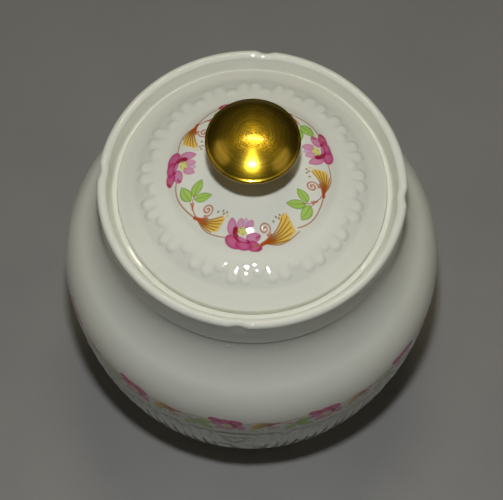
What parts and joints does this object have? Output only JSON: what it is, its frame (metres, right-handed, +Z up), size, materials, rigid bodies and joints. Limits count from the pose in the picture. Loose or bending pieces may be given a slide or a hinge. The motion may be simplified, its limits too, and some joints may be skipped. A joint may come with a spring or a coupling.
{
  "type": "lidded porcelain trinket box",
  "caption": "Round-shouldered glazed porcelain trinket pot with a ribbed domed lid that lifts off by a turned brass knob.",
  "frame": {"origin": "centre of the foot ring's underside, on the table", "axes": "+Z up along the pot's axis, through the middle of the knob; the rim's four notches lie on +X, +Y, -X and -Y"},
  "size_m": [0.1116, 0.1116, 0.1281],
  "materials": {
    "porcelain": "glossy clear glaze over slightly grey-green white porcelain",
    "lid_porcelain": "glossy clear glaze with a printed ring of flowers",
    "gilt_brass": "lathe-brushed and lacquered",
    "screw_steel": "zinc plated",
    "washer_steel": "zinc plated, stamped",
    "soft_washer": "matt, dark"
  },
  "bodies": {
    "pot": {"pot": "porcelain"},
    "lid_carrier": {"steel_washer": "washer_steel", "cushion_washer": "soft_washer"},
    "lid_and_knob": {"lid": "lid_porcelain", "knob": "gilt_brass", "knob_washer": "soft_washer", "knob_screw": "screw_steel"}
  },
  "joints": [
    {"name": "lid_lift", "type": "slide", "parent": "pot", "child": "lid_carrier", "axis": [0, 0, 1], "range_m": [0, 0.06]},
    {"name": "lid_turn", "type": "hinge", "parent": "lid_carrier", "child": "lid_and_knob", "pos_m": [0, 0, 0.1], "axis": [0, 0, 1], "continuous": true}
  ]
}
